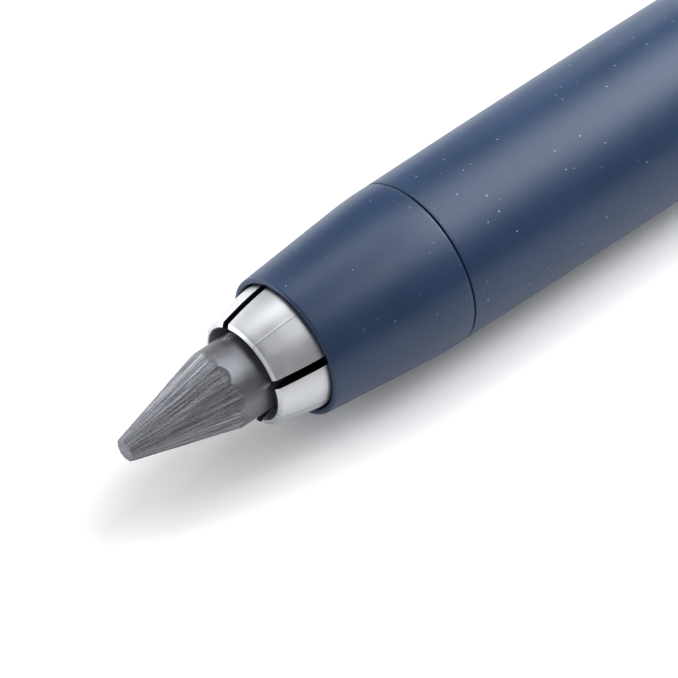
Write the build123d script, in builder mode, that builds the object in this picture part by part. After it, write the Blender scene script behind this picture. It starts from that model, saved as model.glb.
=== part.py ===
"""A 5.6 mm clutch lead holder: nose, barrel, four-jaw collet, return spring and push button.

The holder lies along X with its lead pointing to -X. Every piece is turned about the X axis,
and the origin is on that axis at the middle of the barrel's straight grip.
All sizes are in millimetres.
"""

import os
from math import atan, cos, degrees, radians, sin, tan

from build123d import *

os.makedirs("parts", exist_ok=True)

# ---------------------------------------------------------------- driving sizes
# Lead
lead_radius = 2.8
lead_length = 80.0
lead_reach = 9.65  # tip of the lead in front of the jaws
lead_cone = 7.4
lead_tip_radius = 0.8
lead_tip_round = 0.15
lead_end_chamfer = 0.25

# Fits and gaps
grip_gap = 0.03  # jaws on the lead
lead_gap = 0.25  # lead in its tube
press_gap = 0.02  # pieces that are pressed or screwed together
running_gap = 0.07  # pieces that slide in a guide
seat_gap = 0.05  # jaws on the nose's inner cone
mouth_gap = 0.13  # jaws in the nose's mouth
throat_gap = 0.3  # fingers in the nose's throat, so that they can spread
seam_gap = 0.1  # shadow line between nose and barrel
root_gap = 0.02  # fingers on the collet body
stop_gap = 0.1
spring_gap = 0.3

# Collet
push_travel = 4.5
jaw_count = 4
jaw_turn = 17.5  # first jaw's middle, in degrees from the top towards -Y
slot_width = 0.6
jaw_reach = 3.5  # jaws in front of the nose
jaw_rim = 0.3  # width of the jaws' front face
jaw_mouth_flare = 0.57  # how much wider the jaws are in front than at the grip
jaw_mouth_depth = 1.5
jaw_edge_round = 0.27
jaw_land = 3.6  # length that grips the lead
jaw_crown = 0.07  # how far the head bulges over a straight cone
head_step = 0.92  # head over the fingers
finger_wall = 0.5
finger_reach = 14.1  # from the mouth to the fingers' roots
collet_wall = 0.48
collet_length = 6.5
collet_socket = 4.5

# Nose
nose_length = 11.1
nose_blend = 3.2  # where the nose's taper turns into the barrel
lip_width = 0.4
lip_round = 0.19
mouth_land = 0.9
seat_angle = 16.7
spigot_wall = 0.68
spigot_overrun = 0.4  # spigot behind the collet body
edge_round = 0.08

# Barrel
grip_length = 38.0
swell_length = 25.0  # from the seam to the straight grip
rear_taper_length = 23.0
barrel_swell = 0.2
barrel_front_wall = 0.73
barrel_end_wall = 0.6
insert_wall = 0.43
insert_setback = 0.42  # insert in front of the spigot's end

# Spring
spring_wire = 0.7
spring_length = 24.0
spring_turns = 10
seat_washer = 0.8
collar_thickness = 1.0
clip_thickness = 0.7
clip_depth = 0.2  # groove in the tube
clip_stand = 0.6  # clip over the tube
clip_opening = 60.0  # degrees

# Tube, guide and ferrule
tube_wall = 0.45
guide_length = 6.0
flange_step = 0.15
flange_thickness = 1.0
ferrule_spigot = 9.0
ferrule_length = 6.0
ferrule_taper = 0.35
ferrule_round = 0.3

# Button and sharpener
button_overlap = 4.7  # button inside the ferrule
button_wall = 0.4
button_end_wall = 1.3
button_round = 0.8
button_grooves = 3
groove_width = 0.35
groove_depth = 0.15
groove_pitch = 1.0
button_thread = 3.7
button_insert_wall = 0.36
button_insert_stop = 1.0
sharpener_gap = 0.15
sharpener_tail = 1.0
hole_gap = 0.1  # lead in the sharpener's cone
hole_end_radius = 0.5
blade_thickness = 0.5
blade_inset = 0.8
blade_width = 2.7
blade_front_width = 1.5
blade_shoulder = 3.5
screw_head_radius = 0.9
screw_head_height = 0.45
screw_radius = 0.4
screw_length = 1.8
screw_offset = 1.8
screw_slot = 0.2

# ---------------------------------------------------------------- sizes that follow
tube_bore = lead_radius + lead_gap
tube_radius = tube_bore + tube_wall
collet_radius = tube_radius + press_gap + collet_wall
nose_bore = collet_radius + running_gap
spigot_radius = nose_bore + spigot_wall
insert_bore = spigot_radius + press_gap
insert_radius = insert_bore + insert_wall
front_bore = insert_radius + press_gap
seam_radius = front_bore + barrel_front_wall
barrel_radius = seam_radius + barrel_swell

grip_bore = lead_radius + grip_gap
finger_radius = tube_bore + finger_wall
head_radius = finger_radius + head_step
jaw_mouth = grip_bore + jaw_mouth_flare
jaw_front_radius = jaw_mouth + jaw_rim
crown_radius = (jaw_front_radius + head_radius) / 2 + jaw_crown
mouth_radius = head_radius + mouth_gap
lip_radius = mouth_radius + lip_width
throat_radius = finger_radius + throat_gap
seat_slope = tan(radians(seat_angle))

coil_radius = tube_radius + spring_gap + spring_wire / 2
main_bore = coil_radius + spring_wire / 2 + spring_gap
rear_bore = main_bore + flange_step
barrel_end_radius = rear_bore + barrel_end_wall

button_insert_radius = tube_radius + press_gap + button_insert_wall
button_bore = button_insert_radius + press_gap
button_radius = button_bore + button_wall
ferrule_bore = button_radius + running_gap

# Stations along X, from front to back
seam_x = -(grip_length / 2 + swell_length)
lip_x = seam_x - nose_length
jaw_front_x = lip_x - jaw_reach
lead_tip_x = jaw_front_x - lead_reach
mouth_end_x = lip_x + mouth_land
seat_end_x = mouth_end_x + (mouth_radius - throat_radius) / seat_slope
head_end_x = mouth_end_x + (mouth_gap - seat_gap) / seat_slope
finger_start_x = head_end_x + head_step / seat_slope
jaw_root_x = lip_x + finger_reach
collet_front_x = jaw_root_x + root_gap
collet_rear_x = collet_front_x + collet_length
tube_front_x = collet_rear_x - collet_socket
travel_stop_x = collet_front_x - push_travel - stop_gap
spigot_end_x = collet_rear_x + spigot_overrun
insert_rear_x = spigot_end_x - insert_setback
spring_front_x = spigot_end_x + seat_washer
spring_rear_x = spring_front_x + spring_length
clip_x = spring_rear_x + collar_thickness

barrel_front_x = seam_x + seam_gap
grip_front_x = -grip_length / 2
grip_rear_x = grip_length / 2
barrel_rear_x = grip_rear_x + rear_taper_length
ferrule_front_x = barrel_rear_x - ferrule_spigot
flange_x = ferrule_front_x - flange_thickness
guide_x = flange_x - guide_length
ferrule_rear_x = barrel_rear_x + ferrule_length
button_front_x = ferrule_rear_x - button_overlap
tube_rear_x = button_front_x + button_thread
sharpener_x = tube_rear_x + button_insert_stop

cone_angle = degrees(atan((lead_radius - lead_tip_radius) / lead_cone))
hole_radius = lead_radius + hole_gap
hole_depth = (hole_radius - hole_end_radius) / tan(radians(cone_angle))
sharpener_rear_x = sharpener_x + hole_depth + sharpener_tail
button_rear_x = sharpener_rear_x + sharpener_gap + button_end_wall
blade_plane = Plane(
    origin=(sharpener_x, 0, hole_radius),
    x_dir=(cos(radians(cone_angle)), 0, -sin(radians(cone_angle))),
    z_dir=(sin(radians(cone_angle)), 0, cos(radians(cone_angle))),
)
blade_end = hole_depth / cos(radians(cone_angle)) - blade_inset
screw_place = (2 * blade_end / 3, -screw_offset)

pieces = []


def keep(builder, label):
    """Names a finished piece and puts it on the list of pieces to write."""
    builder.part.label = label
    pieces.append(builder.part)


def ring(label, front_x, rear_x, inner_radius, outer_radius):
    """A plain turned ring between two stations."""
    with BuildPart() as piece:
        with BuildSketch(Plane.YZ.offset(front_x)):
            Circle(outer_radius)
            Circle(inner_radius, mode=Mode.SUBTRACT)
        extrude(amount=rear_x - front_x)
    keep(piece, label)


def turned(label, corners):
    """A piece turned from a closed outline of straight runs, as (station, radius) corners."""
    with BuildPart() as piece:
        with BuildSketch(Plane.XY):
            with BuildLine():
                Polyline(*corners, close=True)
            make_face()
        revolve(axis=Axis.X)
    keep(piece, label)


# ---------------------------------------------------------------- nose cone
taper_slope = (seam_radius - lip_radius) / (nose_length - nose_blend / 2)
blend_start = (seam_x - nose_blend, lip_radius + taper_slope * (nose_length - nose_blend))
blend_corner = (seam_x - nose_blend / 2, seam_radius)

with BuildPart() as nose_cone:
    with BuildSketch(Plane.XY) as nose_profile:
        with BuildLine():
            Line((lip_x, lip_radius), blend_start)
            Bezier(blend_start, blend_corner, (seam_x, seam_radius))
            Polyline(
                (seam_x, seam_radius),
                (seam_x, spigot_radius),
                (spigot_end_x, spigot_radius),
                (spigot_end_x, nose_bore),
                (travel_stop_x, nose_bore),
                (travel_stop_x, throat_radius),
                (seat_end_x, throat_radius),
                (mouth_end_x, mouth_radius),
                (lip_x, mouth_radius),
                (lip_x, lip_radius),
            )
        make_face()
        lip_corners = nose_profile.vertices().group_by(Axis.X)[0]
        fillet(lip_corners, radius=lip_round)
        seam_corner = nose_profile.vertices().sort_by_distance((seam_x, seam_radius))[0]
        fillet(seam_corner, radius=edge_round)
    revolve(axis=Axis.X)
keep(nose_cone, "nose_cone")

# ---------------------------------------------------------------- barrel and what is fixed in it
with BuildPart() as barrel:
    with BuildSketch(Plane.XY) as barrel_profile:
        with BuildLine():
            Bezier(
                (grip_front_x, barrel_radius),
                ((grip_front_x + barrel_front_x) / 2, barrel_radius),
                (barrel_front_x, seam_radius),
            )
            Line((grip_front_x, barrel_radius), (grip_rear_x, barrel_radius))
            Bezier(
                (grip_rear_x, barrel_radius),
                ((grip_rear_x + barrel_rear_x) / 2, barrel_radius),
                (barrel_rear_x, barrel_end_radius),
            )
            Polyline(
                (barrel_rear_x, barrel_end_radius),
                (barrel_rear_x, rear_bore),
                (flange_x, rear_bore),
                (flange_x, main_bore),
                (insert_rear_x, main_bore),
                (insert_rear_x, front_bore),
                (barrel_front_x, front_bore),
                (barrel_front_x, seam_radius),
            )
        make_face()
        front_corner = barrel_profile.vertices().sort_by_distance((barrel_front_x, seam_radius))[0]
        fillet(front_corner, radius=edge_round)
    revolve(axis=Axis.X)
keep(barrel, "barrel")

ring("front_insert", seam_x, insert_rear_x, insert_bore, insert_radius)
ring(
    "spring_seat", spigot_end_x, spring_front_x, tube_radius + running_gap, main_bore - press_gap
)
turned(
    "rear_guide",
    [
        (guide_x, tube_radius + running_gap),
        (guide_x, main_bore - press_gap),
        (flange_x, main_bore - press_gap),
        (flange_x, rear_bore - press_gap),
        (ferrule_front_x, rear_bore - press_gap),
        (ferrule_front_x, tube_radius + running_gap),
    ],
)

with BuildPart() as rear_ferrule:
    with BuildSketch(Plane.XY) as ferrule_profile:
        with BuildLine():
            Polyline(
                (ferrule_front_x, ferrule_bore),
                (ferrule_front_x, rear_bore - press_gap),
                (barrel_rear_x, rear_bore - press_gap),
                (barrel_rear_x, barrel_end_radius),
                (ferrule_rear_x, barrel_end_radius - ferrule_taper),
                (ferrule_rear_x, ferrule_bore),
                close=True,
            )
        make_face()
        rim = ferrule_profile.vertices().sort_by_distance(
            (ferrule_rear_x, barrel_end_radius - ferrule_taper)
        )[0]
        fillet(rim, radius=ferrule_round)
    revolve(axis=Axis.X)
keep(rear_ferrule, "rear_ferrule")

# ---------------------------------------------------------------- return spring
with BuildPart() as return_spring:
    with BuildLine() as coil:
        Helix(
            pitch=(spring_length - spring_wire) / spring_turns,
            height=spring_length - spring_wire,
            radius=coil_radius,
            center=(spring_front_x + spring_wire / 2, 0, 0),
            direction=(1, 0, 0),
        )
    with BuildSketch(coil.line ^ 0):
        Circle(spring_wire / 2)
    sweep(path=coil.line)
keep(return_spring, "return_spring")


# ---------------------------------------------------------------- collet
def collet_jaw(number):
    """One quarter of the collet's head with its finger, between two parallel-sided slots."""
    angle = 90 + jaw_turn - 180 / jaw_count + number * 360 / jaw_count
    across = (0, cos(radians(angle)), sin(radians(angle)))
    with BuildPart() as jaw:
        with BuildSketch(Plane.XY) as jaw_profile:
            with BuildLine():
                ThreePointArc(
                    (jaw_front_x, jaw_front_radius),
                    (jaw_front_x + jaw_reach / 2, crown_radius),
                    (lip_x, head_radius),
                )
                Polyline(
                    (lip_x, head_radius),
                    (head_end_x, head_radius),
                    (finger_start_x, finger_radius),
                    (jaw_root_x, finger_radius),
                    (jaw_root_x, tube_bore),
                    (jaw_front_x + jaw_mouth_depth + jaw_land, tube_bore),
                    (jaw_front_x + jaw_mouth_depth + jaw_land, grip_bore),
                    (jaw_front_x + jaw_mouth_depth, grip_bore),
                    (jaw_front_x, jaw_mouth),
                    (jaw_front_x, jaw_front_radius),
                )
            make_face()
            front = jaw_profile.vertices().sort_by_distance((jaw_front_x, jaw_front_radius))[0]
            fillet(front, radius=jaw_edge_round)
        revolve(axis=Axis.X)
        with BuildSketch(Plane(origin=(jaw_front_x, 0, 0), x_dir=across, z_dir=(1, 0, 0))):
            with Locations((slot_width / 2, slot_width / 2)):
                Rectangle(head_radius, head_radius, align=(Align.MIN, Align.MIN))
        extrude(amount=jaw_root_x - jaw_front_x, mode=Mode.INTERSECT)
    keep(jaw, f"jaw_{number + 1}")


for jaw_number in range(jaw_count):
    collet_jaw(jaw_number)

turned(
    "collet_body",
    [
        (collet_front_x, tube_bore),
        (collet_front_x, collet_radius),
        (collet_rear_x, collet_radius),
        (collet_rear_x, tube_radius + press_gap),
        (tube_front_x, tube_radius + press_gap),
        (tube_front_x, tube_bore),
    ],
)
turned(
    "lead_tube",
    [
        (tube_front_x, tube_bore),
        (tube_front_x, tube_radius),
        (clip_x, tube_radius),
        (clip_x, tube_radius - clip_depth),
        (clip_x + clip_thickness, tube_radius - clip_depth),
        (clip_x + clip_thickness, tube_radius),
        (tube_rear_x, tube_radius),
        (tube_rear_x, tube_bore),
    ],
)
ring("spring_collar", spring_rear_x, clip_x, tube_radius + press_gap, coil_radius + spring_wire / 2)

with BuildPart() as collar_clip:
    with BuildSketch(Plane.YZ.offset(clip_x)):
        Circle(tube_radius + clip_stand)
        Circle(tube_radius - clip_depth + press_gap, mode=Mode.SUBTRACT)
        with BuildLine():
            reach = 2 * tube_radius
            half = radians(clip_opening / 2)
            Polyline(
                (0, 0),
                (reach * cos(half), reach * sin(half)),
                (reach * cos(half), -reach * sin(half)),
                close=True,
            )
        make_face(mode=Mode.SUBTRACT)
    extrude(amount=clip_thickness)
keep(collar_clip, "collar_clip")

# ---------------------------------------------------------------- lead
with BuildPart() as lead:
    with BuildSketch(Plane.XY) as lead_profile:
        with BuildLine():
            Polyline(
                (lead_tip_x, 0),
                (lead_tip_x, lead_tip_radius),
                (lead_tip_x + lead_cone, lead_radius),
                (lead_tip_x + lead_length, lead_radius),
                (lead_tip_x + lead_length, 0),
                close=True,
            )
        make_face()
        tip_corner = lead_profile.vertices().sort_by_distance((lead_tip_x, lead_tip_radius))[0]
        fillet(tip_corner, radius=lead_tip_round)
        end_corner = lead_profile.vertices().sort_by_distance(
            (lead_tip_x + lead_length, lead_radius)
        )[0]
        chamfer(end_corner, length=lead_end_chamfer)
    revolve(axis=Axis.X)
keep(lead, "lead")

# ---------------------------------------------------------------- push button
with BuildPart() as push_button:
    with BuildSketch(Plane.YZ.offset(button_front_x)):
        Circle(button_radius)
    extrude(amount=button_rear_x - button_front_x)
    rear_edge = push_button.edges().filter_by(GeomType.CIRCLE).sort_by(Axis.X)[-1]
    fillet(rear_edge, radius=button_round)
    with BuildSketch(Plane.YZ.offset(button_front_x)):
        Circle(button_bore)
    extrude(amount=button_rear_x - button_end_wall - button_front_x, mode=Mode.SUBTRACT)
    for number in range(button_grooves):
        groove_x = button_rear_x - button_round - groove_pitch * (number + 1)
        with BuildSketch(Plane.YZ.offset(groove_x)):
            Circle(2 * button_radius)
            Circle(button_radius - groove_depth, mode=Mode.SUBTRACT)
        extrude(amount=groove_width, mode=Mode.SUBTRACT)
keep(push_button, "push_button")

turned(
    "button_insert",
    [
        (button_front_x, tube_radius + press_gap),
        (button_front_x, button_insert_radius),
        (sharpener_x, button_insert_radius),
        (sharpener_x, tube_bore),
        (tube_rear_x, tube_bore),
        (tube_rear_x, tube_radius + press_gap),
    ],
)

with BuildPart() as sharpener_body:
    with BuildSketch(Plane.XY):
        with BuildLine():
            Polyline(
                (sharpener_x, hole_radius),
                (sharpener_x, button_insert_radius),
                (sharpener_rear_x, button_insert_radius),
                (sharpener_rear_x, 0),
                (sharpener_x + hole_depth, 0),
                (sharpener_x + hole_depth, hole_end_radius),
                close=True,
            )
        make_face()
    revolve(axis=Axis.X)
    with BuildSketch(blade_plane):
        with Locations((blade_inset, 0)):
            Rectangle(blade_end, 2 * button_radius, align=(Align.MIN, Align.CENTER))
    extrude(amount=2 * button_radius, mode=Mode.SUBTRACT)
    with BuildSketch(blade_plane):
        with Locations(screw_place):
            Circle(screw_radius + press_gap)
    extrude(amount=-screw_length, mode=Mode.SUBTRACT)
keep(sharpener_body, "sharpener_body")

with BuildPart() as sharpener_blade:
    with BuildSketch(blade_plane):
        with BuildLine():
            Polyline(
                (blade_inset, 0),
                (blade_end, 0),
                (blade_end, -blade_width),
                (blade_shoulder, -blade_width),
                (blade_inset, -blade_front_width),
                close=True,
            )
        make_face()
        with Locations(screw_place):
            Circle(screw_radius + press_gap, mode=Mode.SUBTRACT)
    extrude(amount=blade_thickness)
keep(sharpener_blade, "sharpener_blade")

with BuildPart() as blade_screw:
    with BuildSketch(blade_plane.offset(blade_thickness)):
        with Locations(screw_place):
            Circle(screw_head_radius)
            Rectangle(2 * screw_head_radius, screw_slot, mode=Mode.SUBTRACT)
    extrude(amount=screw_head_height)
    with BuildSketch(blade_plane.offset(blade_thickness)):
        with Locations(screw_place):
            Circle(screw_head_radius)
    extrude(amount=screw_head_height / 2)
    with BuildSketch(blade_plane.offset(blade_thickness)):
        with Locations(screw_place):
            Circle(screw_radius)
    extrude(amount=-blade_thickness - screw_length + press_gap)
keep(blade_screw, "blade_screw")

for piece in pieces:
    export_step(piece, f"parts/{piece.label}.step")
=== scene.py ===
"""A clutch lead holder with a soft-touch barrel, built around its engineering frame.

The holder lies along X on a pale table, its lead pointing to -X. Sizes are in metres.
"""

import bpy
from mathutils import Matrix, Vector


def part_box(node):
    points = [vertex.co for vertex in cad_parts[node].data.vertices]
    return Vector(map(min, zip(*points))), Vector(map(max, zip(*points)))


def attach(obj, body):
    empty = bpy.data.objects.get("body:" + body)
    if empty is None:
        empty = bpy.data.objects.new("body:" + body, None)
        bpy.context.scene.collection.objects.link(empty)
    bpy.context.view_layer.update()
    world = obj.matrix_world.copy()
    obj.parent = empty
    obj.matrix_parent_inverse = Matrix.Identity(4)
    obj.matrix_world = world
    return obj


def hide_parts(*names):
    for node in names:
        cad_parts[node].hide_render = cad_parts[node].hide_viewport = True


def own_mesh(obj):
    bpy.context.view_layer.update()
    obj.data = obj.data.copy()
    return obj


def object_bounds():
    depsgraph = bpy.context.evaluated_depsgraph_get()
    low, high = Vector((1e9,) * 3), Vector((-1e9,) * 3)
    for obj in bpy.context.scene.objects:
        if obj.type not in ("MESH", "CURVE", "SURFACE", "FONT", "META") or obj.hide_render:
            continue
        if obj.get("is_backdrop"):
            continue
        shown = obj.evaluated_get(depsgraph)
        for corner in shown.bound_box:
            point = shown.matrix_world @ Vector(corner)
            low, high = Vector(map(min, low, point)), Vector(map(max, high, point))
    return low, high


bl_info = {
    "name": "Lead Holder",
    "version": (1, 0, 0),
    "blender": (4, 5, 0),
    "location": "3D View > Sidebar > Lead Holder",
    "description": "Builds the visible pieces of a clutch lead holder around its frame",
    "category": "Add Mesh",
}

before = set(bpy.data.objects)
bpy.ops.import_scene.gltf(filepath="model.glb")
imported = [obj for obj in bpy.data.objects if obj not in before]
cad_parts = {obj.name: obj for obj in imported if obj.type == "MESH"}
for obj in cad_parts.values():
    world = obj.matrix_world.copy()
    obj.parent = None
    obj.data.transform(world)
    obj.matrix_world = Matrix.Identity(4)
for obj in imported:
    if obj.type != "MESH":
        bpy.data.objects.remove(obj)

from functools import lru_cache, wraps
from math import asin, cos, exp, hypot, pi, radians, sin, sqrt, tan

import bmesh
import bpy
from bpy.props import (
    FloatProperty,
    FloatVectorProperty,
    IntProperty,
    PointerProperty,
)
from mathutils import Matrix, Vector, noise

MM = 0.001
SEGMENTS = 256
LEAD_SEGMENTS = 400
JAWS = 4
SLIDING_FIT = 0.02 * MM
# SHADE_PAINTED marks jaw faces painted near-black: painted shade in the slots and bore.
SATIN, SHADE_PAINTED, PARTING = 0, 1, 2


# ---------------------------------------------------------------- measures from the frame
@lru_cache
def front_of(node):
    """Where a node starts along the holder's axis."""
    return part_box(node)[0].x


@lru_cache
def back_of(node):
    """Where a node ends along the holder's axis."""
    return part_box(node)[1].x


@lru_cache
def radii_of(node):
    """A node's smallest and largest distance from the holder's axis."""
    found = [hypot(v.co.y, v.co.z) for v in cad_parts[node].data.vertices]
    return min(found), max(found)


def outer_of(node):
    """A node's largest distance from the holder's axis."""
    return radii_of(node)[1]


def bore_of(node):
    """A node's smallest distance from the holder's axis."""
    return radii_of(node)[0]


# ---------------------------------------------------------------- what a user can change
def length(label, text, default):
    """A property that holds a length."""
    return FloatProperty(
        name=label, description=text, default=default, subtype="DISTANCE", unit="LENGTH", precision=6
    )


def turn(label, text, default):
    """A property that holds an angle."""
    return FloatProperty(
        name=label, description=text, default=radians(default), subtype="ANGLE", unit="ROTATION"
    )


def colour(label, text, default):
    """A property that holds a linear colour."""
    return FloatVectorProperty(
        name=label, description=text, default=default, subtype="COLOR", size=3, min=0, max=1
    )


class HolderFinish(bpy.types.PropertyGroup):
    """Colours of the holder's finishes."""

    navy: colour("Soft navy", "Soft-touch paint of the nose and barrel", (0.016, 0.044, 0.104))
    satin: colour("Satin metal", "Plated metal of the jaws, ferrule and button", (0.55, 0.56, 0.58))
    graphite: colour("Graphite", "The lead", (0.235, 0.240, 0.262))
    # Painted shade: a near-black that stands in for the shade inside the jaws' slots and bore.
    recess_shade: colour("Soot", "Graphite dust in the collet's slots and bore", (0.045, 0.046, 0.055))
    brass: colour("Brass", "The push tube and the front insert", (0.80, 0.60, 0.30))
    nylon: colour("Nylon", "Bushes and washers", (0.70, 0.69, 0.64))
    steel: colour("Spring steel", "The spring and its clip", (0.52, 0.52, 0.54))
    black: colour("Black plastic", "The pointer's body", (0.018, 0.018, 0.020))


class HolderNose(bpy.types.PropertyGroup):
    """Sizes of the nose cone and the barrel."""

    lip_width: length("Lip width", "Width of the nose's front edge", 0.40 * MM)
    lip_round: length("Lip rounding", "Rounding of the nose's front edge", 0.17 * MM)
    mouth_land: length("Mouth land", "Straight part of the mouth behind the lip", 0.9 * MM)
    blend: length("Blend", "Where the nose's taper turns into the barrel", 3.2 * MM)
    seam_round: length("Seam rounding", "Rounding of the two edges at the seam", 0.07 * MM)
    swell: length("Swell", "From the seam to the straight part of the barrel", 25 * MM)
    rear_taper: length("Rear taper", "From the straight part to the barrel's end", 23 * MM)


class HolderCollet(bpy.types.PropertyGroup):
    """Sizes of the four-jaw collet."""

    turn: turn("Turn", "Middle of the first jaw, from the top towards the front", 17.5)
    slot: length("Slot", "Width of the slots between the jaws", 0.60 * MM)
    edge: length("Edge rounding", "Rounding of the jaws' edges along the slots", 0.05 * MM)
    rim: length("Rim", "Width of the jaws' front face", 0.30 * MM)
    flare: length("Flare", "How much wider the jaws are in front than at the grip", 0.57 * MM)
    flare_depth: length("Flare depth", "Depth of the flare", 1.5 * MM)
    land: length("Grip land", "Length that grips the lead", 3.6 * MM)
    crown: length("Crown", "How far a jaw bulges over a straight cone", 0.07 * MM)
    finger_wall: length("Finger wall", "Thickness of the fingers", 0.5 * MM)
    seat_angle: turn("Seat angle", "Slope of the head's rear cone", 16.7)
    parting: length("Parting line", "Height of the moulding line on each jaw", 0.010 * MM)
    parting_width: length("Parting width", "Width of the moulding line on each jaw", 0.07 * MM)


class HolderLead(bpy.types.PropertyGroup):
    """Sizes of the lead and its cut point."""

    cone: length("Cone", "Length of the sharpened point", 7.4 * MM)
    tip_radius: length("Tip radius", "Radius of the blunt tip", 0.80 * MM)
    tip_round: length("Tip rounding", "Rounding of the blunt tip", 0.13 * MM)
    groove: length("Groove", "Depth of the cutting marks on the flats", 0.034 * MM)
    burr: length("Burr", "Height of the beads that the slots leave on the lead", 0.24 * MM)
    burr_width: turn("Burr width", "Half width of a bead around the lead", 4.6)
    end_chamfer: length("End chamfer", "Chamfer of the lead's rear end", 0.25 * MM)


class HolderRear(bpy.types.PropertyGroup):
    """Sizes of the ferrule, the button and the threads."""

    ferrule_taper: length("Ferrule taper", "How much the ferrule narrows", 0.35 * MM)
    rim_round: length("Rim rounding", "Rounding of the ferrule's rear edge", 0.3 * MM)
    button_wall: length("Button wall", "Thickness of the button's shell", 0.4 * MM)
    button_end: length("Button end", "Thickness of the button's end", 1.3 * MM)
    button_round: length("Button rounding", "Rounding of the button's end", 0.8 * MM)
    ribs: IntProperty(name="Ribs", description="Grip ribs around the button", default=48, min=6)
    rib_length: length("Rib length", "Length of the button's ribs", 3.4 * MM)
    thread_pitch: length("Thread pitch", "Pitch of the screw threads", 0.5 * MM)
    thread_depth: length("Thread depth", "Depth of the screw threads", 0.12 * MM)


class HolderStage(bpy.types.PropertyGroup):
    """The camera and the light."""

    azimuth: turn("Azimuth", "Camera's turn about Z, from -Y", -41.2)
    elevation: turn("Elevation", "Camera's height above the horizon", 48.1)
    distance: length("Distance", "From the camera to the nose", 0.240)
    field: turn("Field of view", "Camera's field of view", 10.4)
    aim: length("Aim", "Point on the axis that the camera follows, behind the lip", 3.6 * MM)
    aim_right: length("Aim right", "The aim's shift to the right in the frame", 0.79 * MM)
    aim_down: length("Aim down", "The aim's shift down in the frame", 1.22 * MM)
    panels_away: length("Panels away", "From the nose to the soft light panels", 0.5)
    brightness: FloatProperty(name="Brightness", description="Factor on every panel", default=1.0)
    sky: FloatProperty(name="Sky", description="Strength of the surrounding light", default=0.02)
    table_glow: FloatProperty(name="Table glow", description="Light from the table", default=0.06)
    exposure: FloatProperty(name="Exposure", description="Exposure of the view, in stops", default=0.45)
    gamma: FloatProperty(name="Gamma", description="Gamma of the view", default=0.80)


# ---------------------------------------------------------------- node helpers
def add_node(tree, kind, inputs=None, **settings):
    """Adds a node, sets what is given, and links the inputs that are sockets."""
    made = tree.nodes.new(kind)
    for key, value in settings.items():
        setattr(made, key, value)
    for key, value in (inputs or {}).items():
        if isinstance(value, bpy.types.NodeSocket):
            tree.links.new(value, made.inputs[key])
        else:
            made.inputs[key].default_value = value
    return made


def maths(tree, operation, *values):
    """A Math node's result."""
    return add_node(tree, "ShaderNodeMath", dict(enumerate(values)), operation=operation).outputs[0]


def mapped(tree, value, low, high, to_low, to_high):
    """A value moved from one range to another, and kept in it."""
    inputs = {"Value": value, "From Min": low, "From Max": high, "To Min": to_low, "To Max": to_high}
    return add_node(tree, "ShaderNodeMapRange", inputs).outputs["Result"]


def group_tree(name, kind, inputs, outputs):
    """Turns a function that fills a node group into one that gives it, built only once."""

    def wrap(fill):
        @wraps(fill)
        def give():
            if name in bpy.data.node_groups:
                return bpy.data.node_groups[name]
            tree = bpy.data.node_groups.new(name, kind)
            for label, (socket, default) in inputs.items():
                made = tree.interface.new_socket(name=label, in_out="INPUT", socket_type=socket)
                if default is not None:
                    made.default_value = default
            for label, socket in outputs.items():
                tree.interface.new_socket(name=label, in_out="OUTPUT", socket_type=socket)
            given = tree.nodes.new("NodeGroupInput").outputs
            fill(tree, given, tree.nodes.new("NodeGroupOutput"))
            return tree

        return give

    return wrap


FLOAT, INT, VECTOR = "NodeSocketFloat", "NodeSocketInt", "NodeSocketVector"
GEOMETRY, MATERIAL = "NodeSocketGeometry", "NodeSocketMaterial"


# ---------------------------------------------------------------- shader groups
@group_tree(
    "Fine Grain",
    "ShaderNodeTree",
    {"Vector": (VECTOR, None), "Per Millimetre": (FLOAT, 12.0), "Contrast": (FLOAT, 1.0)},
    {"Height": FLOAT},
)
def grain_group(tree, given, out):
    """Fine bumps, as on soft-touch paint or cast metal."""
    fine = add_node(
        tree,
        "ShaderNodeTexNoise",
        {"Vector": given["Vector"], "Scale": given["Per Millimetre"], "Detail": 3.0},
    )
    centred = maths(tree, "SUBTRACT", fine.outputs["Fac"], 0.5)
    tree.links.new(
        maths(tree, "MULTIPLY", centred, given["Contrast"]), out.inputs["Height"]
    )


@group_tree(
    "Handling Clouds",
    "ShaderNodeTree",
    {
        "Vector": (VECTOR, None),
        "Per Millimetre": (FLOAT, 0.3),
        "Low": (FLOAT, 0.0),
        "High": (FLOAT, 1.0),
    },
    {"Value": FLOAT},
)
def cloud_group(tree, given, out):
    """Slow changes over the surface, from handling."""
    slow = add_node(
        tree,
        "ShaderNodeTexNoise",
        {"Vector": given["Vector"], "Scale": given["Per Millimetre"], "Detail": 4.0},
    )
    value = mapped(tree, slow.outputs["Fac"], 0.3, 0.7, given["Low"], given["High"])
    tree.links.new(value, out.inputs["Value"])


@group_tree(
    "Dust Specks",
    "ShaderNodeTree",
    {
        "Vector": (VECTOR, None),
        "Per Millimetre": (FLOAT, 2.0),
        "Size": (FLOAT, 0.1),
        "Share": (FLOAT, 0.3),
    },
    {"Mask": FLOAT},
)
def speck_group(tree, given, out):
    """Sparse round specks of dust, as a mask."""
    cells = add_node(
        tree,
        "ShaderNodeTexVoronoi",
        {"Vector": given["Vector"], "Scale": given["Per Millimetre"]},
    )
    parts = add_node(tree, "ShaderNodeSeparateColor", {"Color": cells.outputs["Color"]})
    chosen = maths(tree, "LESS_THAN", parts.outputs["Red"], given["Share"])
    share = maths(tree, "MULTIPLY_ADD", parts.outputs["Green"], 0.7, 0.3)
    size = maths(tree, "MULTIPLY", share, given["Size"])
    near = mapped(tree, cells.outputs["Distance"], maths(tree, "MULTIPLY", size, 0.6), size, 1.0, 0.0)
    tree.links.new(maths(tree, "MULTIPLY", near, chosen), out.inputs["Mask"])


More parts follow.
